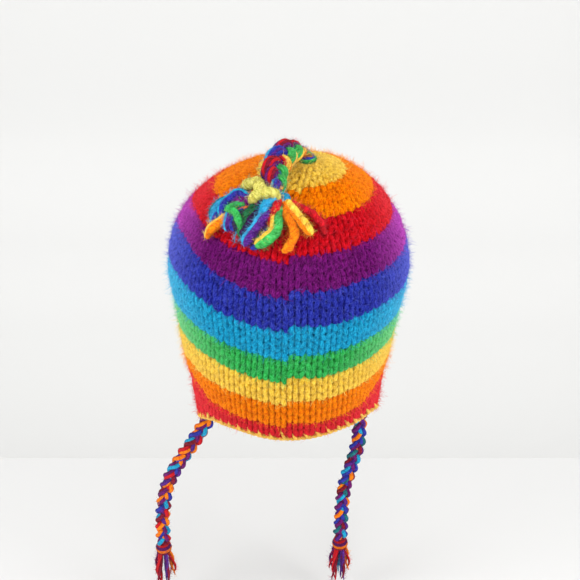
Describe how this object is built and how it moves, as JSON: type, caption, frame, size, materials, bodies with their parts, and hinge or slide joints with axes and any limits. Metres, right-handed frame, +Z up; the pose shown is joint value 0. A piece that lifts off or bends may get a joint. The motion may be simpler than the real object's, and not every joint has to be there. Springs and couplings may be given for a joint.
{
  "type": "knitted ear-flap beanie",
  "caption": "Thick knitted wool beanie in rainbow stripes, with two short ear flaps, braided ties and a braided topknot whose felted locks fan over the crown.",
  "frame": {"origin": "inner top of the crown, where a head carries the hat", "axes": "+Z up towards the topknot, -Y the centre back of the hat, +X to the right as the centre back is looked at"},
  "size_m": [0.2225, 0.2026, 0.4618],
  "materials": {
    "yarn_red": "fuzzy wool knit",
    "yarn_orange": "fuzzy wool knit",
    "yarn_yellow": "fuzzy wool knit",
    "yarn_green": "fuzzy wool knit",
    "yarn_turquoise": "fuzzy wool knit",
    "yarn_blue": "fuzzy wool knit",
    "yarn_purple": "fuzzy wool knit",
    "yarn_edging": "fuzzy wool cord",
    "yarn_mixed": "plied wool yarns in many colours",
    "felt_mixed": "felted wool locks in many colours",
    "wool_halo": "loose wool fibres"
  },
  "bodies": {
    "root": {"stripe_red_low": "yarn_red", "stripe_orange_low": "yarn_orange", "stripe_yellow_low": "yarn_yellow", "stripe_green": "yarn_green", "stripe_turquoise": "yarn_turquoise", "stripe_blue": "yarn_blue", "stripe_purple": "yarn_purple", "stripe_red_high": "yarn_red", "stripe_orange_high": "yarn_orange", "crown_yellow": "yarn_yellow", "ear_flap_left": "yarn_red", "ear_flap_right": "yarn_red", "rim_edging": "yarn_edging", "tie_left": "yarn_mixed", "tie_right": "yarn_mixed", "tie_tassel_left": "yarn_mixed", "tie_tassel_right": "yarn_mixed", "topknot_root": "felt_mixed", "topknot_braid": "felt_mixed", "topknot_tassel": "felt_mixed"}
  },
  "joints": []
}
